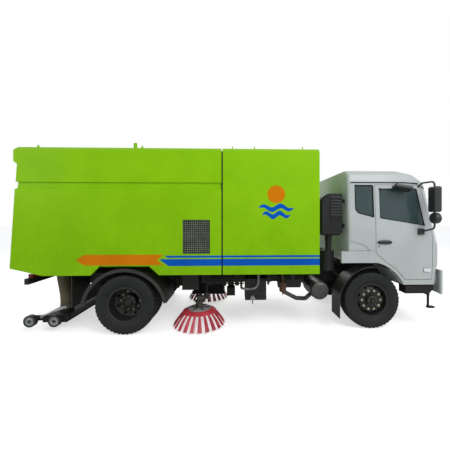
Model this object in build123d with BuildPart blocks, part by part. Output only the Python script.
"""Street sweeper truck on a two-axle lorry chassis, with a tilting cab, a water and
engine housing, a tipping hopper, two side brushes and a trailing suction nozzle.

Millimetres. X points forward, Y to the driver's left, Z up. Z is 0 on the ground and
the origin is in the middle of the truck's length and width."""

import math
import os

from build123d import *

os.makedirs("parts", exist_ok=True)

# Length, axles and body
wheelbase = 4300.0
rear_overhang = 1850.0
front_overhang = 1290.0
overall_length = rear_overhang + wheelbase + front_overhang
x_rear = rear_overhang - overall_length / 2
x_front = x_rear + wheelbase
body_width = 2500.0
body_top = 3163.0
skirt_bottom = 1018.0
skirt_wall = 60.0
roof_chamfer = 54.0
roof_fitting_y = body_width / 2 - 100.0
seam_gap = 14.0
box_front_from_rear_axle = wheelbase - 992.0
seam_from_rear_axle = box_front_from_rear_axle - 1670.0

# Clearances
running_gap = 0.1
seat_gap = 0.3
moving_gap = 5.0
panel_gap = 8.0

# Tyres and rims
tyre_radius = 506.0
tyre_width = 275.0
bead_radius = 286.0
lip_radius = 305.0
front_tyre_y = 971.0
rear_outer_y = 1087.0
twin_spacing = 312.0
rear_inner_y = rear_outer_y - twin_spacing
rim_half = 112.0
hub_radius = 95.0
rear_hub_radius = 125.0
hand_holes = 8
hand_hole_circle = 228.0
hand_hole_radius = 24.0
spindle_radius = 35.0

# Chassis rails
rail_outer = 430.0
rail_height = 250.0
rail_flange = 75.0
rail_wall = 10.0
rail_top = 945.0
rail_bottom = rail_top - rail_height
rail_inner = rail_outer - rail_flange
rail_rear = x_rear - 1620.0
rail_front = x_front + 1195.0
sill_top = skirt_bottom - moving_gap

# Hopper hinge and tipping cylinders, seen from the side
tip_x = x_rear - 1558.0
tip_z = 980.0
tip_shaft_radius = 28.0
tip_lug_radius = 55.0
tip_angle = 45.0
cylinder_y = 200.0
cylinder_base = (tip_x + 320.0, tip_z - 110.0)
cylinder_eye = (tip_x + 1240.0, tip_z + 100.0)
cylinder_run = (cylinder_eye[0] - cylinder_base[0], cylinder_eye[1] - cylinder_base[1])
cylinder_length = math.hypot(*cylinder_run)
barrel_length = 740.0
barrel_radius = 55.0
rod_radius = 32.0

# Cab
cab_wall = 55.0
door_thickness = 45.0
cab_back = x_front - 453.0
cab_pivot_x = x_front + 1200.0
cab_pivot_z = 970.0
cab_pin_radius = 20.0
tunnel_half = 480.0
fender_bottom = 1190.0

# Springs
spring_half = 720.0
spring_eye_radius = 25.0
front_eye_z = 583.0
rear_eye_z = 596.2

# Front axle steering
kingpin_y = 850.0
kingpin_radius = 22.0
tie_rod_x = x_front - 190.0
tie_rod_z = 430.0

# Side brushes, distances of the right-hand one
brush_x = x_rear + 1200.0
brush_y = 800.0
brush_plate_radius = 309.0
brush_plate_z = 250.0
brush_tip_radius = 478.0
brush_tip_z = 20.0
tuft_count = 22
swing_x = x_rear + 1640.0
swing_y = 500.0
swing_low = 640.0
swing_high = 780.0
guide_x = x_rear + 1330.0
guide_y = 700.0
guide_size = 40.0

# Suction nozzle
nozzle_pivot_x = x_rear - 535.0
nozzle_pivot_z = 497.0
nozzle_rear = x_rear - 1540.0
nozzle_front = x_rear - 1120.0
nozzle_half = 950.0
nozzle_low = 130.0
nozzle_high = 250.0
hose_radius = 108.0
hose_y = 700.0
hose_top_x = x_rear - 1348.0
nozzle_outlet_x = x_rear - 1275.0
roller_near = nozzle_half + 75.0
roller_far = nozzle_half + 145.0
roller_radius = 102.0
roller_z = 204.0
roller_xs = {"front": x_rear - 1246.0, "rear": x_rear - 1658.0}


def side_block(outline, near, far, mirrored=True):
    """A plate of the side outline (X, Z), from near to far beside the middle plane,
    on the right-hand side, and on the left too where mirrored."""
    with BuildPart() as block:
        with BuildSketch(Plane.XZ.offset(near)):
            Polygon(*outline, align=None)
        extrude(amount=far - near)
        if mirrored:
            mirror(about=Plane.XZ)
    return block.part


def box_between(low, high):
    """A block with its two opposite corners."""
    size = [b - a for a, b in zip(low, high)]
    with BuildPart() as block:
        with Locations(tuple((a + b) / 2 for a, b in zip(low, high))):
            Box(*size)
    return block.part


def turned(x_axle, z_axle, outline):
    """A ring turned about a cross axis, its outline given as (Y, radius)."""
    with BuildPart() as ring:
        with BuildSketch(Plane.YZ.offset(x_axle)):
            Polygon(*[(across, z_axle - radius) for across, radius in outline], align=None)
        revolve(axis=Axis((x_axle, 0, z_axle), (0, 1, 0)))
    return ring.part


def bar(start, end, width, depth):
    """A straight bar of rectangular section between two points."""
    run = Vector(*end) - Vector(*start)
    with BuildPart() as piece:
        with BuildSketch(Plane(origin=start, z_dir=run)):
            Rectangle(width, depth)
        extrude(amount=run.length)
    return piece.part


def rod_between(start, end, radius):
    """A straight round bar between two points."""
    run = Vector(*end) - Vector(*start)
    with BuildPart() as piece:
        with BuildSketch(Plane(origin=start, z_dir=run)):
            Circle(radius)
        extrude(amount=run.length)
    return piece.part


def cross_rod(x, z, y_from, y_to, radius):
    """A round bar across the truck."""
    return rod_between((x, y_from, z), (x, y_to, z), radius)


# Chassis frame

# X from the rear axle, lowest Z, highest Z and thickness of each crossmember
crossmembers = [
    (-1595.0, rail_bottom, 880.0, 50.0),
    (-450.0, rail_bottom, 900.0, 80.0),
    (700.0, rail_bottom, 900.0, 80.0),
    (1900.0, 780.0, 900.0, 80.0),
    (2700.0, 780.0, 900.0, 80.0),
    (wheelbase + 1120.0, rail_bottom, 900.0, 60.0),
]

with BuildPart() as chassis_frame:
    with BuildSketch(Plane.YZ.offset(rail_rear)):
        with Locations((rail_outer - rail_flange / 2, rail_top - rail_height / 2)):
            Rectangle(rail_flange, rail_height)
        with Locations((rail_outer - rail_flange / 2 - rail_wall, rail_top - rail_height / 2)):
            Rectangle(rail_flange, rail_height - 2 * rail_wall, mode=Mode.SUBTRACT)
        mirror(about=Plane.YZ)
    extrude(amount=rail_front - rail_rear)
    for ahead, low, high, thick in crossmembers:
        add(box_between(
            (x_rear + ahead - thick / 2, -rail_outer + rail_wall / 2, low),
            (x_rear + ahead + thick / 2, rail_outer - rail_wall / 2, high)))
    # Sills that carry the hopper and the front housing
    for start, end, top in (
        (tip_x + 80, x_rear + seam_from_rear_axle, sill_top),
        (x_rear + seam_from_rear_axle, x_rear + box_front_from_rear_axle, skirt_bottom),
    ):
        add(side_block([(start, rail_top), (end, rail_top), (end, top), (start, top)],
                       rail_inner, rail_outer))
    # Hinge shaft of the hopper in its two round bearings, and the cylinders' cross shaft
    add(cross_rod(tip_x, tip_z, -rail_outer, rail_outer, tip_shaft_radius))
    add(side_block([(tip_x - 33, rail_top), (tip_x + 33, rail_top),
                    (tip_x + 33, tip_z), (tip_x - 33, tip_z)], rail_inner, rail_outer))
    for side in (-1, 1):
        add(cross_rod(tip_x, tip_z, side * rail_inner, side * rail_outer, 33))
    add(cross_rod(*cylinder_base, -rail_outer + rail_wall / 2, rail_outer - rail_wall / 2, 30))
    # Rear bar
    with Locations((rail_rear - 37.5, 0, 898)):
        Box(75, 2300, 96)
    # Spring hangers: two at each spring, under the rails
    for x_axle, eye_z in ((x_front, front_eye_z), (x_rear, rear_eye_z)):
        for reach in (-spring_half, spring_half):
            foot = eye_z + spring_eye_radius + seat_gap
            add(side_block([(x_axle + reach - 60, rail_bottom), (x_axle + reach + 60, rail_bottom),
                            (x_axle + reach + 30, foot), (x_axle + reach - 30, foot)],
                           rail_inner, rail_outer))
    # Cab pivots at the front and the cab's rear support
    add(side_block([(cab_pivot_x - 130, 740), (cab_pivot_x + 10, 740),
                    (cab_pivot_x + 32, cab_pivot_z), (cab_pivot_x - 32, cab_pivot_z)],
                   rail_outer, rail_outer + 40))
    for side in (-1, 1):
        add(cross_rod(cab_pivot_x, cab_pivot_z, side * rail_outer, side * (rail_outer + 40), 32))
        add(cross_rod(cab_pivot_x, cab_pivot_z, side * rail_outer, side * (tunnel_half + 50),
                      cab_pin_radius))
    add(side_block([(cab_back + 5, rail_top), (cab_back + 45, rail_top),
                    (cab_back + 45, 1125), (cab_back + 5, 1125)], rail_inner, rail_outer))
    add(box_between((cab_back + 5, -620, 1120), (cab_back + 45, 620, fender_bottom - seat_gap)))
    # Brackets of the side brushes: a back plate and two ears with the swing pin
    add(side_block([(swing_x - 45, swing_low), (swing_x + 45, swing_low),
                    (swing_x + 45, 900), (swing_x - 45, 900)], rail_outer, rail_outer + 15))
    for low in (swing_low, swing_high - 20):
        add(side_block([(swing_x - 45, low), (swing_x + 45, low),
                        (swing_x + 45, low + 20), (swing_x - 45, low + 20)],
                       rail_outer, swing_y + 40))
    for side in (-1, 1):
        add(rod_between((swing_x, side * swing_y, swing_low),
                        (swing_x, side * swing_y, swing_high), 18))
    # Saddles beside the suction hoses
    add(side_block([(hose_top_x - 40, 970), (hose_top_x + 40, 970), (hose_top_x + 40, 1005),
                    (hose_top_x - 40, 1005)], rail_outer - 5, hose_y - hose_radius - seat_gap))
    # Hangers and pins of the suction nozzle's drag arms
    add(side_block([(nozzle_pivot_x - 70, 880), (nozzle_pivot_x - 45, nozzle_pivot_z - 40),
                    (nozzle_pivot_x + 45, nozzle_pivot_z - 40), (nozzle_pivot_x + 70, 880)],
                   rail_outer, rail_outer + 25))
    for side in (-1, 1):
        add(cross_rod(nozzle_pivot_x, nozzle_pivot_z, side * rail_outer, side * 560, 20))
chassis_frame.part.label = "chassis_frame"
export_step(chassis_frame.part, "parts/chassis_frame.step")

# Engine as one plain block, gearbox behind it
with BuildPart() as engine_gearbox:
    add(box_between((x_front - 380, -340, 590), (x_front + 430, 340, 1250)))
    add(box_between((x_front - 980, -210, 560), (x_front - 380, 210, 880)))
    add(box_between((x_front - 200, -rail_inner, 720), (x_front - 140, rail_inner, 800)))
    add(box_between((x_front - 900, -rail_inner, 720), (x_front - 840, rail_inner, 800)))
    with BuildSketch(Plane.YZ.offset(x_front - 980)):
        with Locations((0, 720)):
            Circle(60)
    extrude(amount=-70)
engine_gearbox.part.label = "engine_gearbox"
export_step(engine_gearbox.part, "parts/engine_gearbox.step")

# Front axle: a dropped beam with an eye at each kingpin
with BuildPart() as front_axle:
    with BuildSketch(Plane.YZ.offset(x_front - 45)):
        Polygon(*[(-kingpin_y, 560), (-kingpin_y, 452), (-700, 452), (-560, 380),
                  (560, 380), (700, 452), (kingpin_y, 452), (kingpin_y, 560),
                  (700, 560), (540, 470), (-540, 470), (-700, 560)], align=None)
    extrude(amount=90)
    for side in (-1, 1):
        add(rod_between((x_front, side * kingpin_y, 452), (x_front, side * kingpin_y, 560), 40))
    for side in (-1, 1):
        with Locations((x_front, side * kingpin_y, 506)):
            Hole(kingpin_radius + running_gap, depth=80)
front_axle.part.label = "front_axle"
export_step(front_axle.part, "parts/front_axle.step")

# Rear axle: tube, round drive housing and the pads of the springs
with BuildPart() as rear_axle:
    add(cross_rod(x_rear, tyre_radius, -990, 990, 68))
    with BuildSketch(Plane.YZ.offset(x_rear - 130)):
        with Locations((0, tyre_radius)):
            Circle(185)
    extrude(amount=260)
    with BuildSketch(Plane.YZ.offset(x_rear + 130)):
        with Locations((0, tyre_radius + 20)):
            Circle(80)
    extrude(amount=170)
    add(side_block([(x_rear - 70, 470), (x_rear + 70, 470), (x_rear + 70, 600), (x_rear - 70, 600)],
                   352, 428))
rear_axle.part.label = "rear_axle"
export_step(rear_axle.part, "parts/rear_axle.step")

# Leaf springs: stacked leaves, each a flat bow that ends under the hangers
# Half length, lowest Z at the middle of each leaf
front_leaves = [(720.0, 514.0), (560.0, 500.0), (400.0, 486.0)]
rear_leaves = [(720.0, 645.0), (600.0, 631.0), (480.0, 617.0), (340.0, 603.0)]
leaf_rise = 62.0
leaf_thickness = 14.0

with BuildPart() as leaf_springs:
    for x_axle, leaves, pad_low in ((x_front, front_leaves, 470.0), (x_rear, rear_leaves, 600.0)):
        for half, low in leaves:
            rise = leaf_rise * (half / spring_half) ** 2 * (1 if x_axle == x_front else -0.9)
            bow = [(-1.0, 1.0), (-0.5, 0.25), (0.0, 0.0), (0.5, 0.25), (1.0, 1.0)]
            underside = [(x_axle + half * t, low + rise * h) for t, h in bow]
            upper_side = [(x, z + leaf_thickness) for x, z in reversed(underside)]
            with BuildSketch(Plane.XZ.offset(352)):
                Polygon(*underside, *upper_side, align=None)
            extrude(amount=76)
        for end in (-spring_half, spring_half):
            eye_z = front_eye_z if x_axle == x_front else rear_eye_z
            add(cross_rod(x_axle + end, eye_z, -352, -428, spring_eye_radius))
        top = leaves[0][1] + leaf_thickness
        add(side_block([(x_axle - 65, pad_low), (x_axle + 65, pad_low),
                        (x_axle + 65, top + 20), (x_axle - 65, top + 20)], 352, 428,
                       mirrored=False))
    mirror(about=Plane.XZ)
leaf_springs.part.label = "leaf_springs"
export_step(leaf_springs.part, "parts/leaf_springs.step")

# Propeller shaft from the gearbox to the rear axle
with BuildPart() as propshaft:
    add(rod_between((x_front - 1053.4, 0, 720), (x_rear + 303.4, 0, tyre_radius + 20), 45))
propshaft.part.label = "propshaft"
export_step(propshaft.part, "parts/propshaft.step")

# Front bumper: a bowed skin with rounded ends, open behind
bumper_low = 629.0
bumper_high = 1050.0
bumper_half = 1190.0
bumper_corner_x = x_front + 1250.0
bumper_bow = x_front + front_overhang - bumper_corner_x
bumper_skin = 42.0


def bumper_plan(inset):
    """Plan of the bumper's front, moved inwards by the inset."""
    with BuildSketch(Plane.XY.offset(bumper_low)) as plan:
        with BuildLine():
            ThreePointArc((bumper_corner_x - inset, -bumper_half + inset),
                          (bumper_corner_x + bumper_bow - inset, 0),
                          (bumper_corner_x - inset, bumper_half - inset))
            Polyline((bumper_corner_x - inset, bumper_half - inset),
                     (x_front + 1180, bumper_half - inset),
                     (x_front + 1180, -bumper_half + inset),
                     (bumper_corner_x - inset, -bumper_half + inset))
        make_face()
    return plan.sketch


with BuildPart() as front_bumper:
    add(bumper_plan(0))
    extrude(amount=bumper_high - bumper_low)
    fillet(front_bumper.edges().filter_by(Axis.Z).group_by(Axis.X)[-1], 70)
    add(bumper_plan(bumper_skin))
    extrude(amount=bumper_high - bumper_low, mode=Mode.SUBTRACT)
    # Brackets to the ends of the rails
    add(side_block([(rail_front, 760), (x_front + 1245, 760), (x_front + 1245, 880),
                    (rail_front, 880)], rail_inner, rail_outer))
    # Lamp openings
    for side in (-1, 1):
        with Locations((x_front + 1240, side * 900, 880)):
            Box(160, 300, 150, mode=Mode.SUBTRACT)
front_bumper.part.label = "front_bumper"
export_step(front_bumper.part, "parts/front_bumper.step")

with BuildPart() as headlamps:
    for side in (-1, 1):
        with Locations((x_front + 1232, side * 900, 880)):
            Box(50, 300 - 2 * seat_gap, 150 - 2 * seat_gap)
headlamps.part.label = "headlamps"
export_step(headlamps.part, "parts/headlamps.step")

# Entry steps below the doors: a box tread with a kick rail, on an arm from the chassis
with BuildPart() as entry_steps:
    add(side_block([(x_front + 575, 640), (x_front + 1010, 640), (x_front + 1080, 720),
                    (x_front + 1080, 780), (x_front + 575, 780)], 960, 1150))
    add(side_block([(x_front + 760, 700), (x_front + 840, 700), (x_front + 840, 760),
                    (x_front + 760, 760)], rail_outer, 960))
entry_steps.part.label = "entry_steps"
export_step(entry_steps.part, "parts/entry_steps.step")

# Tail lamps on the rear bar
with BuildPart() as tail_lamps:
    for side in (-1, 1):
        with Locations((rail_rear - 30, side * 960, 979)):
            Box(70, 230, 66)
tail_lamps.part.label = "tail_lamps"
export_step(tail_lamps.part, "parts/tail_lamps.step")

# Fuel tank on the left, on two straps that reach the rail
with BuildPart() as fuel_tank:
    with Locations((x_rear + 2500, 790, 720)):
        Box(900, 520, 460)
    fillet(fuel_tank.edges().filter_by(Axis.X), 90)
    for ahead in (2200, 2800):
        add(box_between((x_rear + ahead - 30, rail_outer, 740), (x_rear + ahead + 30, 560, 800)))
fuel_tank.part.label = "fuel_tank"
export_step(fuel_tank.part, "parts/fuel_tank.step")

# Tanks and boxes on the frame: X from the rear axle, Y middle, Z middle, size
chassis_boxes = [
    (1050.0, -760.0, 820.0, (300.0, 300.0, 300.0)),
    (1535.0, -790.0, 915.0, (520.0, 380.0, 190.0)),
    (2230.0, -860.0, 700.0, (380.0, 320.0, 380.0)),
    (990.0, 740.0, 820.0, (380.0, 380.0, 320.0)),
]
with BuildPart() as chassis_tanks:
    for ahead, across, up, size in chassis_boxes:
        with Locations((x_rear + ahead, across, up)):
            Box(*size)
        reach = math.copysign(rail_outer, across)
        low_y, high_y = sorted((reach, across))
        add(box_between((x_rear + ahead - 40, low_y, up - 30), (x_rear + ahead + 40, high_y, up + 30)))
    # Air tank across the frame below the right rail
    add(rod_between((x_rear + 2650, -900, 820), (x_rear + 3050, -900, 820), 120))
    add(box_between((x_rear + 2820, -900, 790), (x_rear + 2880, -rail_outer, 850)))
    # Air cleaner behind the cab, under the intake
    add(rod_between((x_front - 730, -860, 1020), (x_front - 730, -860, 1380), 130))
    add(rod_between((x_front - 730, -940, 1300), (x_front - 730, -940, 1560 - seat_gap), 55))
    add(box_between((x_front - 760, -860, 1040), (x_front - 700, -rail_outer, 1100)))
    add(box_between((x_front - 760, -rail_outer - 60, 850), (x_front - 700, -rail_outer, 1100)))
chassis_tanks.part.label = "chassis_tanks"
export_step(chassis_tanks.part, "parts/chassis_tanks.step")

# Silencer drum across the truck: domed end with a boss, two straps and a bent pipe below
silencer_x = x_front - 940.0
silencer_z = 690.0
silencer_radius = 158.0
silencer_outline = [(-560, 0), (-560, silencer_radius), (-1095, silencer_radius), (-1118, silencer_radius - 10),
                    (-1132, silencer_radius - 40), (-1140, 40), (-1155, 36), (-1155, 0)]
exhaust_pipe = [(silencer_x - 40, -760, 560), (silencer_x - 170, -780, 455), (silencer_x - 350, -800, 470),
                (silencer_x - 560, -800, 580), (silencer_x - 640, -800, 640)]
with BuildPart() as exhaust_silencer:
    add(turned(silencer_x, silencer_z, silencer_outline))
    for across in (-680, -1000):
        add(cross_rod(silencer_x, silencer_z, across - 25, across + 25, silencer_radius + 6))
    add(box_between((silencer_x - 40, -600, 740), (silencer_x + 40, -rail_outer, 800)))
    with BuildLine() as pipe_line:
        FilletPolyline(*exhaust_pipe, radius=70)
    with BuildSketch(Plane(origin=pipe_line.line @ 0, z_dir=pipe_line.line % 0)):
        Circle(38)
    sweep()
exhaust_silencer.part.label = "exhaust_silencer"
export_step(exhaust_silencer.part, "parts/exhaust_silencer.step")

# Mudguards: arcs turned about the wheels, flaps behind them
rear_guard_radius = 722.0
rear_guard_z = 397.0
front_guard_radius = 600.0
guard_skin = 12.0


def guard_arc(x, z, inner, outer, y_near, y_far, start, sweep):
    """A curved sheet round a wheel: starts at an angle above the front, on the right."""
    with BuildPart() as sheet:
        with BuildSketch(Plane.XZ.offset(y_near)):
            with BuildLine():
                a = math.radians(start)
                b = math.radians(start + sweep)
                m = (a + b) / 2
                ends = [[(x + r * math.cos(t), z + r * math.sin(t)) for t in (a, m, b)]
                        for r in (inner, outer)]
                ThreePointArc(*ends[0])
                Line(ends[0][2], ends[1][2])
                ThreePointArc(*ends[1])
                Line(ends[0][0], ends[1][0])
            make_face()
        extrude(amount=y_far - y_near)
        mirror(about=Plane.XZ)
    return sheet.part


with BuildPart() as mudguards:
    add(guard_arc(x_front, tyre_radius, front_guard_radius, front_guard_radius + guard_skin,
                  800, 1165, 60, 125))
    add(side_block([(x_front - 613, 215), (x_front - 601, 215), (x_front - 601, 480),
                    (x_front - 613, 480)], 800, 1165))
    add(side_block([(x_front - 500, 855), (x_front - 440, 855), (x_front - 440, 900),
                    (x_front - 500, 900)], rail_outer, 830))
    add(guard_arc(x_rear, rear_guard_z, rear_guard_radius - guard_skin, rear_guard_radius,
                  640, body_width / 2 - 10, 12, 156))
    for ridge in (40, 10):
        add(guard_arc(x_rear, rear_guard_z, rear_guard_radius - 50, rear_guard_radius + 6,
                      body_width / 2 - ridge - 15, body_width / 2 - ridge, 12, 156))
    for low, high in ((-670, -610), (610, 670)):
        add(side_block([(x_rear + low, 700), (x_rear + high, 700), (x_rear + high, 740),
                        (x_rear + low, 740)], rail_outer, 700))
    add(side_block([(x_rear - 897, 460), (x_rear - 885, 460), (x_rear - 885, 1000),
                    (x_rear - 897, 1000)], 640, 1180))
    add(side_block([(x_rear - 897, 900), (x_rear - 560, 900), (x_rear - 560, 940),
                    (x_rear - 897, 940)], rail_outer, 700))
mudguards.part.label = "mudguards"
export_step(mudguards.part, "parts/mudguards.step")

# Front housing: water tank and auxiliary engine room, closed
with BuildPart() as water_box:
    add(box_between((x_rear + seam_from_rear_axle + seam_gap / 2, -body_width / 2, skirt_bottom),
                    (x_rear + box_front_from_rear_axle, body_width / 2, body_top)))
    chamfer(water_box.edges().filter_by(Axis.X).group_by(Axis.Z)[-1], roof_chamfer)
    for ahead in (1815.0, 2200.0, 3040.0):
        with Locations((x_rear + ahead, roof_fitting_y, body_top + 25),
                       (x_rear + ahead, -roof_fitting_y, body_top + 25)):
            Cylinder(9, 52)
water_box.part.label = "water_box"
export_step(water_box.part, "parts/water_box.step")

# Pipes below the body: the cross spray bar behind the bumper with its nozzle feet
with BuildPart() as water_pipes:
    add(cross_rod(x_front + 1018, 612, -1120, 1120, 20))
    for side in (-1, 1):
        add(rod_between((x_front + 1018, side * 1100, 612), (x_front + 1018, side * 1100, 395), 20))
        add(box_between((x_front + 1000, side * 1100 - 30, 370), (x_front + 1120, side * 1100 + 30, 400)))
        add(box_between((x_front + 1000, side * 392 - 20, 612),
                        (x_front + 1036, side * 392 + 20, rail_bottom)))
water_pipes.part.label = "water_pipes"
export_step(water_pipes.part, "parts/water_pipes.step")

# Suction hoses, bent from the hopper's underside down to the nozzle
hose_top = 1150.0 - seat_gap
hose_path = [(hose_top_x, hose_top), (hose_top_x, 900.0), (nozzle_outlet_x, 560.0),
             (nozzle_outlet_x, 311.0 + seat_gap)]
with BuildPart() as suction_hoses:
    with BuildLine():
        FilletPolyline(*[(x, -hose_y, z) for x, z in hose_path], radius=450)
    with BuildSketch(Plane(origin=(hose_path[0][0], -hose_y, hose_top), z_dir=(0, 0, -1))):
        Circle(hose_radius)
    sweep()
    mirror(about=Plane.XZ)
suction_hoses.part.label = "suction_hoses"
export_step(suction_hoses.part, "parts/suction_hoses.step")

# Hopper: shell of roof, walls and front, and the floor that carries the hinge lugs
hopper_front = x_rear + seam_from_rear_axle - seam_gap / 2
hopper_floor_low = 1150.0
hopper_floor_high = 1210.0
hopper_inner = body_width / 2 - skirt_wall
groove_low = 2456.0
groove_high = 2575.0
groove_depth = 25.0
visor_under = body_top - 295.0
room_rear = x_rear - 1645.0
floor_rear = x_rear - 1775.0

# The rear edge from the visor down: X from the rear axle, Z
rear_edge = [(-1791.0, body_top - 246.0), (-1732.0, visor_under), (-1753.0, groove_high),
             (-1728.0, groove_high), (-1742.0, groove_low + 19), (-1767.0, groove_low),
             (-rear_overhang, 1141.0)]
hopper_side = [(x_rear + 411 + 172, skirt_bottom), (hopper_front, skirt_bottom),
               (hopper_front, body_top), (x_rear - 1751, body_top), (x_rear - 1791, body_top - 65)]
hopper_side += [(x_rear + x, z) for x, z in rear_edge]
hopper_side += [(x_rear - 1318, skirt_bottom), (x_rear - 548, skirt_bottom),
                (x_rear - 390, 1179), (x_rear + 411, 1179)]

grille_x = (x_rear + 980.0, x_rear + 1438.0)
grille_z = (1371.0, 1947.0)

with BuildPart() as hopper_shell:
    add(side_block(hopper_side, -body_width / 2, body_width / 2, mirrored=False))
    chamfer(hopper_shell.edges().filter_by(Axis.X).group_by(Axis.Z)[-1], roof_chamfer)
    # Groove along both sides
    with BuildSketch(Plane.YZ.offset(x_rear - 2000)):
        Polygon((-body_width / 2 - 1, groove_low), (-body_width / 2, groove_low),
                (-body_width / 2 + groove_depth, groove_low + 19),
                (-body_width / 2 + groove_depth, groove_high),
                (-body_width / 2 - 1, groove_high), align=None)
        mirror(about=Plane.YZ)
    extrude(amount=4000, mode=Mode.SUBTRACT)
    # Inside and underside between the skirts, and the opening that the tailgate closes
    add(side_block([(room_rear, skirt_bottom - 50), (hopper_front - skirt_wall, skirt_bottom - 50),
                    (hopper_front - skirt_wall, body_top - skirt_wall),
                    (room_rear, body_top - skirt_wall)],
                   -hopper_inner, hopper_inner, mirrored=False), mode=Mode.SUBTRACT)
    add(side_block([(hopper_front - skirt_wall - 1, skirt_bottom - 50), (hopper_front + 1, skirt_bottom - 50),
                    (hopper_front + 1, hopper_floor_low), (hopper_front - skirt_wall - 1, hopper_floor_low)],
                   -hopper_inner, hopper_inner, mirrored=False), mode=Mode.SUBTRACT)
    add(side_block([(room_rear + 5, skirt_bottom - 50), (room_rear + 5, visor_under),
                    (x_rear - 2000, visor_under), (x_rear - 2000, skirt_bottom - 50)],
                   -hopper_inner, hopper_inner, mirrored=False), mode=Mode.SUBTRACT)
    # Grille openings
    add(side_block([(grille_x[0], grille_z[0]), (grille_x[1], grille_z[0]),
                    (grille_x[1], grille_z[1]), (grille_x[0], grille_z[1])],
                   hopper_inner - 1, body_width / 2 + 1), mode=Mode.SUBTRACT)
    # Joints that leave the roof, the two sides, the front wall and the rear header apart
    roof_under = body_top - skirt_wall
    add(box_between((x_rear - 2000, -body_width / 2 - 1, roof_under - seat_gap),
                    (hopper_front + 1, body_width / 2 + 1, roof_under)), mode=Mode.SUBTRACT)
    add(side_block([(x_rear - 2000, skirt_bottom - 1), (hopper_front + 1, skirt_bottom - 1),
                    (hopper_front + 1, roof_under), (x_rear - 2000, roof_under)],
                   hopper_inner - seat_gap, hopper_inner), mode=Mode.SUBTRACT)
    # Hinge ears of the tailgate below the visor
    tailgate_hinge = (x_rear - 1762.0, visor_under - 16.0)
    add(side_block([(tailgate_hinge[0] - 22, tailgate_hinge[1] - 20),
                    (tailgate_hinge[0] + 18, tailgate_hinge[1] - 20),
                    (tailgate_hinge[0] + 20, visor_under + 20),
                    (tailgate_hinge[0] - 22, visor_under + 40)], 880, 920))
    for side in (-1, 1):
        add(cross_rod(*tailgate_hinge, side * 836, side * 964, 8))
    # Roof fittings: a round-topped lifting lug and small cones
    for side in (-1, 1):
        with Locations((x_rear + 160, side * roof_fitting_y, body_top + 45)):
            Cylinder(30, 92)
        with Locations((x_rear + 275, side * roof_fitting_y, body_top + 25),
                       (x_rear - 1460, side * roof_fitting_y, body_top + 25)):
            Cone(26, 8, 52)
hopper_shell.part.label = "hopper_shell"
export_step(hopper_shell.part, "parts/hopper_shell.step")

# Hopper floor: the floor plate, its two beams, the hinge lugs and the cylinder cheeks
floor_front = hopper_front - skirt_wall - seat_gap
floor_half = hopper_inner - seat_gap
with BuildPart() as hopper_floor:
    add(side_block([(floor_rear, hopper_floor_low), (floor_front, hopper_floor_low),
                    (floor_front, hopper_floor_high), (floor_rear, hopper_floor_high)],
                   -floor_half, floor_half, mirrored=False))
    # Floor beams
    add(side_block([(tip_x + 90, skirt_bottom), (floor_front, skirt_bottom),
                    (floor_front, hopper_floor_low), (tip_x + 90, hopper_floor_low)],
                   rail_inner, rail_outer))
    # Hinge lugs on the shaft
    add(side_block([(tip_x - 70, hopper_floor_low), (tip_x + 140, hopper_floor_low),
                    (tip_x + 50, tip_z - 20), (tip_x - 50, tip_z - 20)], 300, 345))
    for side in (-1, 1):
        add(cross_rod(tip_x, tip_z, side * 300, side * 345, tip_lug_radius))
    add(cross_rod(tip_x, tip_z, -346, 346, tip_shaft_radius + running_gap), mode=Mode.SUBTRACT)
    # Cheeks beside the eyes of the tipping cylinders
    for near, far in ((cylinder_y - 53, cylinder_y - 38), (cylinder_y + 38, cylinder_y + 53)):
        add(side_block([(cylinder_eye[0] - 70, hopper_floor_low), (cylinder_eye[0] + 70, hopper_floor_low),
                        (cylinder_eye[0] + 40, cylinder_eye[1] - 38),
                        (cylinder_eye[0] - 40, cylinder_eye[1] - 38)], near, far))
hopper_floor.part.label = "hopper_floor"
export_step(hopper_floor.part, "parts/hopper_floor.step")

# Grilles: a frame with upright and level bars
grille_columns = 6
grille_rows = 8
with BuildPart() as hopper_grilles:
    width = grille_x[1] - grille_x[0] - 2 * seat_gap
    height = grille_z[1] - grille_z[0] - 2 * seat_gap
    middle = ((grille_x[0] + grille_x[1]) / 2, (grille_z[0] + grille_z[1]) / 2)
    with BuildSketch(Plane.XZ.offset(body_width / 2 - 40)):
        with Locations(middle):
            Rectangle(width, height)
            with GridLocations(width / grille_columns, height / grille_rows,
                               grille_columns, grille_rows):
                Rectangle(width / grille_columns - 14, height / grille_rows - 14,
                          mode=Mode.SUBTRACT)
    extrude(amount=20)
    mirror(about=Plane.XZ)
hopper_grilles.part.label = "hopper_grilles"
export_step(hopper_grilles.part, "parts/hopper_grilles.step")

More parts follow.
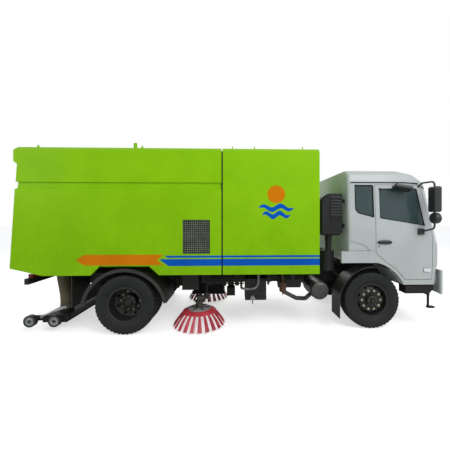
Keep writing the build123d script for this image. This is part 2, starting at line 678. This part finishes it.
# Tailgate: a slab that follows the rear edge, hung below the visor
tailgate_low = 1152.0
tailgate_thickness = 70.0
lean = (rear_edge[-1][0] - rear_edge[-2][0]) / (rear_edge[-1][1] - rear_edge[-2][1])
foot_x = rear_edge[-2][0] + lean * (tailgate_low - rear_edge[-2][1])
tailgate_outline = [(x_rear + x, z) for x, z in rear_edge[2:-1]]
tailgate_outline = [(x_rear + rear_edge[1][0], visor_under - panel_gap)] + tailgate_outline
tailgate_outline += [(x_rear + foot_x, tailgate_low), (x_rear + foot_x + tailgate_thickness, tailgate_low),
                     (x_rear + rear_edge[1][0] + tailgate_thickness, visor_under - panel_gap)]
with BuildPart() as tailgate:
    add(side_block(tailgate_outline, -hopper_inner + panel_gap, hopper_inner - panel_gap,
                   mirrored=False))
    for near in (940, 840):
        add(side_block([(tailgate_hinge[0] - 22, tailgate_hinge[1] - 22),
                        (tailgate_hinge[0] + 60, tailgate_hinge[1] - 80),
                        (tailgate_hinge[0] + 60, tailgate_hinge[1]),
                        (tailgate_hinge[0] + 10, tailgate_hinge[1] + 13),
                        (tailgate_hinge[0] - 22, tailgate_hinge[1] + 13)], near, near + 20))
    add(cross_rod(*tailgate_hinge, -970, 970, 8 + running_gap), mode=Mode.SUBTRACT)
    # Upright stiffening ribs between the groove and the foot
    rib_top = groove_low - 120
    rib_low = tailgate_low + 320
    rib_x = [x_rear + rear_edge[-2][0] + lean * (z - rear_edge[-2][1]) for z in (rib_low, rib_top)]
    for near in (230, 700):
        add(side_block([(rib_x[0] + 4, rib_low), (rib_x[1] + 4, rib_top),
                        (rib_x[1] - 18, rib_top - 30), (rib_x[0] - 18, rib_low + 30)], near, near + 70))
tailgate.part.label = "tailgate"
export_step(tailgate.part, "parts/tailgate.step")

# Tipping cylinders
along = Vector(cylinder_run[0], 0, cylinder_run[1]).normalized()


def on_cylinder(distance, side):
    """The point at a distance along a cylinder's axis."""
    base = Vector(cylinder_base[0], side * cylinder_y, cylinder_base[1])
    return tuple(base + along * distance)


with BuildPart() as tip_barrels:
    for side in (-1, 1):
        add(rod_between(on_cylinder(0, side), on_cylinder(barrel_length, side), barrel_radius))
        add(cross_rod(*cylinder_base, side * cylinder_y - 45, side * cylinder_y + 45, 50))
    for side in (-1, 1):
        add(rod_between(on_cylinder(150, side), on_cylinder(barrel_length + 1, side),
                        rod_radius + running_gap), mode=Mode.SUBTRACT)
        add(cross_rod(*cylinder_base, side * cylinder_y - 60, side * cylinder_y + 60,
                      30 + running_gap), mode=Mode.SUBTRACT)
tip_barrels.part.label = "tip_barrels"
export_step(tip_barrels.part, "parts/tip_barrels.step")

with BuildPart() as tip_rods:
    for side in (-1, 1):
        add(rod_between(on_cylinder(182, side), on_cylinder(cylinder_length, side), rod_radius))
        add(cross_rod(*cylinder_eye, side * cylinder_y - 20, side * cylinder_y + 20, 38))
tip_rods.part.label = "tip_rods"
export_step(tip_rods.part, "parts/tip_rods.step")

# Cab

# Z, half width, X of the front corner from the front axle, bow of the front
cab_sections = [
    (797.0, 1150.0, 1185.0, 60.0),
    (1180.0, 1175.0, 1204.0, 60.0),
    (1500.0, 1175.0, 1200.0, 60.0),
    (1785.0, 1170.0, 1131.0, 70.0),
    (2610.0, 1120.0, 971.0, 70.0),
    (2750.0, 1095.0, 800.0, 60.0),
    (2826.0, 1020.0, 570.0, 50.0),
]
cab_corner = 165.0
cab_back_corner = 60.0
cab_top = cab_sections[-1][0]


def cab_section(z, half, corner_x, bow, inset):
    """One level outline of the cab, moved inwards by the inset."""
    front_x = x_front + corner_x - inset
    back_x = cab_back + inset
    half = half - inset
    with BuildSketch(Plane.XY.offset(z)) as outline:
        with BuildLine():
            ThreePointArc((front_x, -half), (front_x + bow, 0), (front_x, half))
            Polyline((front_x, half), (back_x, half), (back_x, -half), (front_x, -half))
        make_face()
        corners = outline.vertices().group_by(Axis.X)
        fillet(corners[-1], cab_corner - inset)
        fillet(outline.vertices().group_by(Axis.X)[0], max(cab_back_corner - inset, 4))
    return outline.sketch


def cab_body(inset):
    """The cab's solid outer shape, moved inwards by the inset."""
    sections = []
    for z, half, corner_x, bow in cab_sections:
        level = z - inset if z > 2700 else z
        sections.append(cab_section(level, half, corner_x, bow, inset))
    with BuildPart() as body:
        loft(sections=sections, ruled=True)
    return body.part


def cab_skin(outer_inset, inner_inset):
    """A shell between two insets of the cab's shape."""
    with BuildPart() as skin:
        add(cab_body(outer_inset))
        add(cab_body(inner_inset), mode=Mode.SUBTRACT)
    return skin.part


def front_axle_points(points):
    """Side outline points whose X is given from the front axle."""
    return [(x_front + x, z) for x, z in points]


arch_points = [(-577.0, fender_bottom), (57.0, fender_bottom), (277.0, 1083.0), (542.0, 797.0)]
door_points = [(35.0, 2560.0), (845.0, 2560.0), (1010.0, 1828.0), (1040.0, 1700.0), (1040.0, 892.0),
               (570.0, 892.0), (400.0, 1075.0), (205.0, 1215.0), (35.0, 1360.0)]
door_window = [(110.0, 2500.0), (790.0, 2500.0), (913.0, 1838.0), (110.0, 1971.0)]
quarter_window = [(-328.0, 2560.0), (5.0, 2560.0), (5.0, 1985.0), (-280.0, 2060.0), (-328.0, 2120.0)]


def door_prism(grow, near=600.0, far=1300.0):
    """The door's outline carried across the right-hand wall, grown by a clearance."""
    with BuildPart() as prism:
        with BuildSketch(Plane.XZ.offset(near)):
            Polygon(*front_axle_points(door_points), align=None)
            if grow:
                offset(amount=grow, kind=Kind.INTERSECTION)
        extrude(amount=far - near)
    return prism.part


def outline_prism(points, near=600.0, far=1300.0, shrink=0.0):
    """A window outline carried across the right-hand wall."""
    with BuildPart() as prism:
        with BuildSketch(Plane.XZ.offset(near)) as shape:
            Polygon(*front_axle_points(points), align=None)
            fillet(shape.vertices(), 35)
            if shrink:
                offset(amount=-shrink)
        extrude(amount=far - near)
    return prism.part


windscreen_low = 1870.0
windscreen_high = 2540.0
windscreen_half = 1010.0


def windscreen_prism(shrink=0.0):
    """The windscreen's outline carried through the front wall."""
    with BuildPart() as prism:
        with BuildSketch(Plane.YZ.offset(x_front + 700)) as shape:
            Polygon((-windscreen_half, windscreen_low), (windscreen_half, windscreen_low),
                    (windscreen_half - 70, windscreen_high), (-windscreen_half + 70, windscreen_high),
                    align=None)
            fillet(shape.vertices(), 60)
            if shrink:
                offset(amount=-shrink)
        extrude(amount=700)
    return prism.part


flange_width = 14.0
with BuildPart() as cab_shell:
    add(cab_body(0))
    # Wheel arches and the space below the floor
    with BuildSketch(Plane.XZ.offset(-1300)):
        with BuildLine():
            Polyline(*front_axle_points([(542, 797), (542, 700), (-700, 700), (-700, fender_bottom),
                                         (57, fender_bottom)]))
            ThreePointArc(*front_axle_points([(57, fender_bottom), (330, 1060), (542, 797)]))
        make_face()
    extrude(amount=2600, mode=Mode.SUBTRACT)
    # Tunnel over the engine
    add(box_between((x_front - 700, -tunnel_half, 700), (x_front + 1195, tunnel_half, 1290)),
        mode=Mode.SUBTRACT)
    # Front cut back behind the bumper
    add(box_between((x_front + 1120, -1300, 700), (x_front + 1400, 1300, 1100)), mode=Mode.SUBTRACT)
    # Room inside: above the floor, and the two footwells
    with BuildPart(mode=Mode.PRIVATE) as room:
        add(cab_body(cab_wall))
        add(box_between((x_front - 700, -1300, 700), (x_front + 640, 1300, 1250)), mode=Mode.SUBTRACT)
        add(box_between((x_front - 700, -tunnel_half - 60, 700),
                        (x_front + 1400, tunnel_half + 60, 1350)), mode=Mode.SUBTRACT)
        add(box_between((x_front - 700, -1300, 700), (x_front + 1400, 1300, 860)), mode=Mode.SUBTRACT)
        add(box_between((x_front + 1075, -1300, 700), (x_front + 1400, 1300, 1160)), mode=Mode.SUBTRACT)
    add(room.part, mode=Mode.SUBTRACT)
    # Door openings with a flange behind the door, then the windows
    with BuildPart(mode=Mode.PRIVATE) as rebate:
        add(cab_skin(-1, door_thickness + seat_gap))
        add(door_prism(panel_gap), mode=Mode.INTERSECT)
    for piece in (rebate.part, door_prism(-flange_width), outline_prism(quarter_window)):
        add(piece, mode=Mode.SUBTRACT)
        add(mirror(piece, about=Plane.XZ, mode=Mode.PRIVATE), mode=Mode.SUBTRACT)
    add(windscreen_prism(), mode=Mode.SUBTRACT)
    # Wall cleared beside the hinge, where the curved door's inner edge swings back
    hinge_side = front_axle_points([(960, 906), (1044, 906), (1044, 1700), (1012, 1828), (960, 2060)])
    add(side_block(hinge_side, 600, 1300), mode=Mode.SUBTRACT)
    # Pressed panel above the fender, and the fender's rear end behind the back wall
    add(side_block(front_axle_points([(-460, 1575), (-330, 1560), (-170, 1505), (-95, 1425),
                                      (-70, 1394), (-460, 1394)]), 1162, 1300), mode=Mode.SUBTRACT)
    with BuildPart(mode=Mode.PRIVATE) as fender_end:
        add(side_block([(cab_back + 90, fender_bottom), (cab_back + 90, 1390), (cab_back - 124, 1390),
                        (cab_back - 124, fender_bottom)], 1120, 1176))
        rear_edges = fender_end.edges().filter_by(Axis.Y).group_by(Axis.X)[0].group_by(Axis.Z)[-1]
        fillet(rear_edges, 35)
    add(fender_end.part)
    # Curved pivot lugs that reach down in front of the floor
    add(side_block([(cab_pivot_x - 95, 1110), (cab_pivot_x - 55, 1110), (cab_pivot_x - 35, 1050),
                    (cab_pivot_x + 20, 998), (cab_pivot_x - 20, 944), (cab_pivot_x - 60, 1030)],
                   tunnel_half + 5, tunnel_half + 45))
    for side in (-1, 1):
        add(cross_rod(cab_pivot_x, cab_pivot_z, side * (tunnel_half + 5), side * (tunnel_half + 45),
                      32))
    # Pivot holes
    add(cross_rod(cab_pivot_x, cab_pivot_z, -1000, 1000, cab_pin_radius + running_gap),
        mode=Mode.SUBTRACT)
cab_shell.part.label = "cab_shell"
export_step(cab_shell.part, "parts/cab_shell.step")

# Cab glass: windscreen and quarter windows set in the walls
pane_outer = 9.0
pane_inner = 15.0
pane_skin = cab_skin(pane_outer, pane_inner)
with BuildPart() as cab_glass:
    for prism in (windscreen_prism(seat_gap), outline_prism(quarter_window, shrink=seat_gap)):
        with BuildPart(mode=Mode.PRIVATE) as pane:
            add(pane_skin)
            add(prism, mode=Mode.INTERSECT)
        add(pane.part)
    add(mirror(pane.part, about=Plane.XZ, mode=Mode.PRIVATE))
cab_glass.part.label = "cab_glass"
export_step(cab_glass.part, "parts/cab_glass.step")

# Dashboard with the steering column and wheel
wheel_x = x_front + 700.0
with BuildPart() as dashboard:
    add(side_block([(x_front + 860, 1350.3), (x_front + 1060, 1350.3), (x_front + 1040, 1800),
                    (x_front + 950, 1830), (x_front + 800, 1700)], -1060, 1060, mirrored=False))
    add(rod_between((x_front + 860, 560, 1640), (wheel_x, 560, 1800), 28))
    with BuildPart(Plane(origin=(wheel_x, 560, 1800), z_dir=(-0.707, 0, 0.707)),
                   mode=Mode.PRIVATE) as steering_wheel:
        Torus(220, 14)
        Box(430, 40, 16)
        Cylinder(60, 20)
    add(steering_wheel.part)
dashboard.part.label = "dashboard"
export_step(dashboard.part, "parts/dashboard.step")

# Seats, plain solids
with BuildPart() as seats:
    for middle in (-560, 560):
        add(box_between((x_front - 280, middle - 250, 1350.3), (x_front + 220, middle + 250, 1560)))
        add(box_between((x_front - 380, middle - 250, 1560), (x_front - 250, middle + 250, 2250)))
seats.part.label = "seats"
export_step(seats.part, "parts/seats.step")

# Front grille on the cab's nose
with BuildPart() as front_grille:
    for k in range(4):
        low = 1180 + 90 * k
        add(box_between((x_front + 1200, -600, low), (x_front + 1266, 600, low + 50)))
    add(box_between((x_front + 1200, -620, 1150), (x_front + 1262, -600, 1530)))
    add(box_between((x_front + 1200, 600, 1150), (x_front + 1262, 620, 1530)))
    add(cab_body(-seat_gap), mode=Mode.SUBTRACT)
front_grille.part.label = "front_grille"
export_step(front_grille.part, "parts/front_grille.step")

# Air intake on the cab's back
intake_rear = x_front - 905.0
intake_front = x_front - 515.0
intake_low = 1665.0
intake_high = 2418.0
with BuildPart() as air_intake:
    with BuildSketch(Plane.XZ.offset(860)):
        with BuildLine():
            ThreePointArc((intake_rear, intake_high - 190), (intake_rear + 50, intake_high - 55),
                          (intake_rear + 190, intake_high))
            Polyline((intake_rear + 190, intake_high), (intake_front, intake_high),
                     (intake_front, intake_low + 60), (intake_front - 50, intake_low),
                     (intake_rear + 40, intake_low), (intake_rear, intake_low + 50),
                     (intake_rear, intake_high - 190))
        make_face()
    extrude(amount=200)
    chamfer(air_intake.faces().sort_by(Axis.Y)[0].edges(), 22)
    # Louvres that the air enters through
    for k in range(8):
        low = intake_high - 95 - 56 * k
        add(side_block([(intake_front - 225, low), (intake_front - 30, low), (intake_front - 30, low + 26),
                        (intake_front - 225, low + 26)], 1040, 1072, mirrored=False))
    add(rod_between((x_front - 730, -940, 1562), (x_front - 730, -940, 1700), 60))
    for low in (1800, 2250):
        add(box_between((x_front - 530, -1000, low), (cab_back - seat_gap, -920, low + 60)))
air_intake.part.label = "air_intake"
export_step(air_intake.part, "parts/air_intake.step")

# Right-hand door and its glass, the mirrors, then the left-hand ones
with BuildPart() as door_right:
    add(cab_skin(0, door_thickness))
    add(door_prism(0), mode=Mode.INTERSECT)
    add(outline_prism(door_window), mode=Mode.SUBTRACT)
with BuildPart() as door_glass_right:
    add(pane_skin)
    add(outline_prism(door_window, shrink=seat_gap), mode=Mode.INTERSECT)

mirror_x = x_front + 900.0
mirror_y = -1400.0
upper_arm = [(x_front + 812, -1085, 2500), (x_front + 840, -1200, 2590), (mirror_x, mirror_y, 2590),
             (mirror_x, mirror_y, 2300)]
lower_arm = [(mirror_x, mirror_y, 2100), (mirror_x, mirror_y, 1800), (x_front + 830, -1180, 1735)]
arm_radius = 15.0
with BuildPart() as mirrors_on_arms:
    # Main mirror and round mirror, each a rounded housing
    with Locations((mirror_x + 5, mirror_y, 2290)):
        Box(120, 190, 430)
    fillet(mirrors_on_arms.edges(), 35)
    with BuildPart(mode=Mode.PRIVATE) as round_mirror:
        with Locations((mirror_x + 15, mirror_y, 1975)):
            Cylinder(92, 100, rotation=(0, 90, 0))
        fillet(round_mirror.edges(), 25)
    add(round_mirror.part)
    # Bent tubes from the top of the door frame and from the door below the window
    for route in (upper_arm, lower_arm):
        with BuildLine() as arm_line:
            FilletPolyline(*route, radius=55)
        with BuildSketch(Plane(origin=arm_line.line @ 0, z_dir=arm_line.line % 0)):
            Circle(arm_radius)
        sweep()
    with Locations((x_front + 828, -1182, 1738)):
        Box(100, 50, 104)
    add(cab_body(-seat_gap), mode=Mode.SUBTRACT)
with BuildPart() as kerb_mirror:
    with Locations(Location((x_front + 465, -1235, 2500), (-20, 12, 0))):
        Box(310, 150, 66)
    fillet(kerb_mirror.edges(), 24)
    add(rod_between((x_front + 465, -1080, 2535), (x_front + 465, -1235, 2510), 18))
    add(cab_body(-seat_gap), mode=Mode.SUBTRACT)
with BuildPart() as mirror_right:
    add(mirrors_on_arms.part)
    add(kerb_mirror.part)
mirror_parts = {"right": mirror_right.part,
                "left": mirror(mirrors_on_arms.part, about=Plane.XZ, mode=Mode.PRIVATE)}
for name, part in mirror_parts.items():
    with BuildPart() as piece:
        add(part)
    piece.part.label = f"mirror_{name}"
    export_step(piece.part, f"parts/mirror_{name}.step")
for side, name in ((-1, "right"), (1, "left")):
    for stem, source in (("door", door_right), ("door_glass", door_glass_right)):
        with BuildPart() as piece:
            if side < 0:
                add(source.part)
            else:
                add(mirror(source.part, about=Plane.XZ, mode=Mode.PRIVATE))
        piece.part.label = f"{stem}_{name}"
        export_step(piece.part, f"parts/{stem}_{name}.step")

# Steering knuckles and tie rod
with BuildPart() as knuckle_right:
    add(rod_between((x_front, -kingpin_y, 420), (x_front, -kingpin_y, 600), kingpin_radius))
    add(box_between((x_front - 45, -kingpin_y - 45, 410), (x_front + 45, -kingpin_y + 45, 451)))
    add(box_between((x_front - 45, -kingpin_y - 45, 561), (x_front + 45, -kingpin_y + 45, 602)))
    add(box_between((x_front - 45, -kingpin_y - 75, 410), (x_front + 45, -kingpin_y - 45, 602)))
    add(cross_rod(x_front, tyre_radius, -1040, -kingpin_y - 50, spindle_radius))
    add(box_between((tie_rod_x - 30, -kingpin_y - 25, 410), (x_front, -kingpin_y + 25, 428)))
    add(rod_between((tie_rod_x, -kingpin_y, 428), (tie_rod_x, -kingpin_y, 462), 12))
for side, name in ((-1, "right"), (1, "left")):
    with BuildPart() as knuckle:
        if side < 0:
            add(knuckle_right.part)
        else:
            add(mirror(knuckle_right.part, about=Plane.XZ, mode=Mode.PRIVATE))
    knuckle.part.label = f"knuckle_{name}"
    export_step(knuckle.part, f"parts/knuckle_{name}.step")

with BuildPart() as tie_rod:
    add(cross_rod(tie_rod_x, 446, -kingpin_y, kingpin_y, 14))
    for side in (-1, 1):
        add(rod_between((tie_rod_x, side * kingpin_y, 428.3), (tie_rod_x, side * kingpin_y, 461), 24))
    for side in (-1, 1):
        add(rod_between((tie_rod_x, side * kingpin_y, 420), (tie_rod_x, side * kingpin_y, 470),
                        12 + running_gap), mode=Mode.SUBTRACT)
tie_rod.part.label = "tie_rod"
export_step(tie_rod.part, "parts/tie_rod.step")

# Wheels


def tyre_ring(x_axle, middle):
    """A tyre whose middle plane is at the given Y."""
    half = tyre_width / 2
    outline = [(-rim_half + 16, bead_radius + seat_gap), (rim_half - 16, bead_radius + seat_gap),
               (half, 415), (half - 22, tyre_radius), (-half + 22, tyre_radius), (-half, 415)]
    return turned(x_axle, tyre_radius, [(middle + across, radius) for across, radius in outline])


def rim_ring(x_axle, middle, outward, disc_at, disc_to):
    """A rim: barrel with raised lips and a dished disc down to the hub."""
    outline = [(-rim_half, lip_radius), (-rim_half, 268), (rim_half, 268), (rim_half, lip_radius),
               (rim_half - 7, lip_radius), (rim_half - 7, bead_radius), (-rim_half + 7, bead_radius),
               (-rim_half + 7, lip_radius)]
    barrel = turned(x_axle, tyre_radius, [(middle + across, radius) for across, radius in outline])
    disc = turned(x_axle, tyre_radius, [
        (outward * disc_at, 275), (outward * disc_to, 190), (outward * disc_to, 60),
        (outward * (disc_to - 14), 60), (outward * (disc_to - 14), 190),
        (outward * (disc_at - 14), 275)])
    with BuildPart() as rim:
        add(barrel)
        add(disc)
        middle_y = outward * (disc_at + disc_to) / 2
        for k in range(hand_holes):
            turn = math.radians(360 * (k + 0.5) / hand_holes)
            hole_x = x_axle + hand_hole_circle * math.cos(turn)
            hole_z = tyre_radius + hand_hole_circle * math.sin(turn)
            add(cross_rod(hole_x, hole_z, middle_y - 60, middle_y + 60, hand_hole_radius),
                mode=Mode.SUBTRACT)
    return rim.part


for side, name in ((-1, "right"), (1, "left")):
    with BuildPart() as tyre:
        add(tyre_ring(x_front, side * front_tyre_y))
    tyre.part.label = f"tyre_front_{name}"
    export_step(tyre.part, f"parts/tyre_front_{name}.step")

    with BuildPart() as rim:
        add(rim_ring(x_front, side * front_tyre_y, side, 1010, 1062))
        add(cross_rod(x_front, tyre_radius, side * 940, side * 1110, hub_radius))
        add(cross_rod(x_front, tyre_radius, side * 930, side * 1045, spindle_radius + running_gap),
            mode=Mode.SUBTRACT)
    rim.part.label = f"rim_front_{name}"
    export_step(rim.part, f"parts/rim_front_{name}.step")

    with BuildPart() as twin_tyres:
        add(tyre_ring(x_rear, side * rear_outer_y))
        add(tyre_ring(x_rear, side * rear_inner_y))
    twin_tyres.part.label = f"tyres_rear_{name}"
    export_step(twin_tyres.part, f"parts/tyres_rear_{name}.step")

    with BuildPart() as twin_rims:
        add(rim_ring(x_rear, side * rear_outer_y, side, 990, 945))
        add(rim_ring(x_rear, side * rear_inner_y, side, 890, 931))
        add(cross_rod(x_rear, tyre_radius, side * 700, side * 1040, rear_hub_radius))
        add(cross_rod(x_rear, tyre_radius, side * 690, side * 995, 68 + running_gap),
            mode=Mode.SUBTRACT)
    twin_rims.part.label = f"rims_rear_{name}"
    export_step(twin_rims.part, f"parts/rims_rear_{name}.step")

# Side brushes, made on the right and mirrored
with BuildPart() as brush_arm_right:
    add(rod_between((swing_x, -swing_y, swing_low + 20 + seat_gap),
                    (swing_x, -swing_y, swing_high - 20 - seat_gap), 40))
    add(bar((swing_x, -swing_y, 710), (guide_x, -guide_y, 710), 60, 50))
    with Locations((guide_x, -guide_y, 590)):
        Box(guide_size, guide_size, 300)
    add(rod_between((swing_x, -swing_y, swing_low), (swing_x, -swing_y, swing_high),
                    18 + running_gap), mode=Mode.SUBTRACT)

with BuildPart() as brush_head_right:
    with Locations((guide_x, -guide_y, 505)):
        Box(guide_size + 40, guide_size + 40, 110)
        Box(guide_size + 2 * seat_gap, guide_size + 2 * seat_gap, 120, mode=Mode.SUBTRACT)
    add(bar((guide_x - 33, -guide_y - 25, 480), (brush_x, -brush_y, 440), 60, 40))
    # Gear housing over the round cover, with the hydraulic motor and its ports on top
    add(rod_between((brush_x, -brush_y, 305), (brush_x, -brush_y, 430), 65))
    add(rod_between((brush_x, -brush_y, 425), (brush_x, -brush_y, 445), 88))
    add(rod_between((brush_x, -brush_y, 445), (brush_x, -brush_y, 545), 52))
    add(box_between((brush_x - 45, -brush_y - 45, 470), (brush_x + 95, -brush_y + 45, 530)))
    for ahead in (60, 85):
        add(rod_between((brush_x + ahead, -brush_y - 20, 525), (brush_x + ahead, -brush_y - 20, 550), 11))
    add(rod_between((brush_x, -brush_y, 305), (brush_x, -brush_y, 315), 205))
    for k in range(6):
        turn = math.radians(60 * k)
        rib_end = (brush_x + 185 * math.cos(turn), -brush_y + 185 * math.sin(turn), 320)
        add(bar((brush_x, -brush_y, 320), rib_end, 14, 30))
    add(rod_between((brush_x, -brush_y, 252), (brush_x, -brush_y, 310), 20))

with BuildPart() as side_brush_right:
    with Locations((brush_x, -brush_y, brush_plate_z + 25)):
        Cone(brush_plate_radius, 240, 50)
    root_radius = brush_plate_radius - 35
    reach = brush_tip_radius - root_radius
    drop = brush_plate_z + 12 - brush_tip_z
    slope = math.hypot(reach, drop)
    for k in range(tuft_count):
        turn = math.radians(360 * k / tuft_count)
        out = Vector(math.cos(turn), math.sin(turn), 0)
        root = Vector(brush_x, -brush_y, brush_plate_z + 12) + out * root_radius
        down = out * (reach / slope) + Vector(0, 0, -drop / slope)
        tangent = Vector(-math.sin(turn), math.cos(turn), 0)
        tip = root + down * (slope - 20)
        with BuildSketch(Plane(origin=root, x_dir=tangent, z_dir=down)) as root_section:
            Rectangle(30, 18)
        with BuildSketch(Plane(origin=tip, x_dir=tangent, z_dir=down)) as tip_section:
            Rectangle(64, 34)
        loft(sections=[root_section.sketch, tip_section.sketch])
    add(rod_between((brush_x, -brush_y, 240), (brush_x, -brush_y, 310), 20 + running_gap),
        mode=Mode.SUBTRACT)

for side, name in ((-1, "right"), (1, "left")):
    for stem, source in (("brush_arm", brush_arm_right), ("brush_head", brush_head_right),
                         ("side_brush", side_brush_right)):
        with BuildPart() as piece:
            if side < 0:
                add(source.part)
            else:
                add(mirror(source.part, about=Plane.XZ, mode=Mode.PRIVATE))
        piece.part.label = f"{stem}_{name}"
        export_step(piece.part, f"parts/{stem}_{name}.step")

# Suction nozzle: an open-bottomed box with two outlets, side plates and drag arms
nozzle_skin = 12.0
with BuildPart() as suction_nozzle:
    add(box_between((nozzle_rear, -nozzle_half, nozzle_low), (nozzle_front, nozzle_half, nozzle_high)))
    for side in (-1, 1):
        add(rod_between((nozzle_outlet_x, side * hose_y, nozzle_high - nozzle_skin),
                        (nozzle_outlet_x, side * hose_y, 311), hose_radius + 4))
        add(bar((nozzle_pivot_x, side * 525, nozzle_pivot_z), (nozzle_front - 15, side * 880, 205), 50, 60))
        add(cross_rod(nozzle_pivot_x, nozzle_pivot_z, side * 500, side * 550, 40))
    # Room inside, open below, and the way up into the hoses
    add(box_between((nozzle_rear + nozzle_skin, -nozzle_half + nozzle_skin, nozzle_low - 1),
                    (nozzle_front - nozzle_skin, nozzle_half - nozzle_skin, nozzle_high - nozzle_skin)),
        mode=Mode.SUBTRACT)
    for side in (-1, 1):
        add(rod_between((nozzle_outlet_x, side * hose_y, nozzle_low),
                        (nozzle_outlet_x, side * hose_y, 320), hose_radius - 10), mode=Mode.SUBTRACT)
        add(cross_rod(nozzle_pivot_x, nozzle_pivot_z, side * 490, side * 560, 20 + running_gap),
            mode=Mode.SUBTRACT)
    # Side plates on the rollers' axles, with an arched top over each roller
    plate_outline = [(x_rear - 1740, 170), (x_rear - 1080, 170), (x_rear - 1080, 240), (x_rear - 1160, 262),
                     (x_rear - 1330, 262), (x_rear - 1400, 235), (x_rear - 1500, 235), (x_rear - 1580, 262),
                     (x_rear - 1700, 262), (x_rear - 1740, 230)]
    add(side_block(plate_outline, nozzle_half - 2, nozzle_half + 15))
    for side in (-1, 1):
        for x in roller_xs.values():
            add(cross_rod(x, roller_z, side * nozzle_half, side * (roller_far + 5), 15))
suction_nozzle.part.label = "suction_nozzle"
export_step(suction_nozzle.part, "parts/suction_nozzle.step")

for end, x in roller_xs.items():
    with BuildPart() as rollers:
        for side in (-1, 1):
            add(turned(x, roller_z, [(side * roller_near, 0), (side * roller_near, roller_radius),
                                     (side * roller_far, roller_radius), (side * roller_far, 72),
                                     (side * (roller_far - 12), 66), (side * (roller_far - 12), 0)]))
        for side in (-1, 1):
            add(cross_rod(x, roller_z, side * (roller_near - 5), side * (roller_far + 4),
                          15 + running_gap), mode=Mode.SUBTRACT)
    rollers.part.label = f"rollers_{end}"
    export_step(rollers.part, f"parts/rollers_{end}.step")
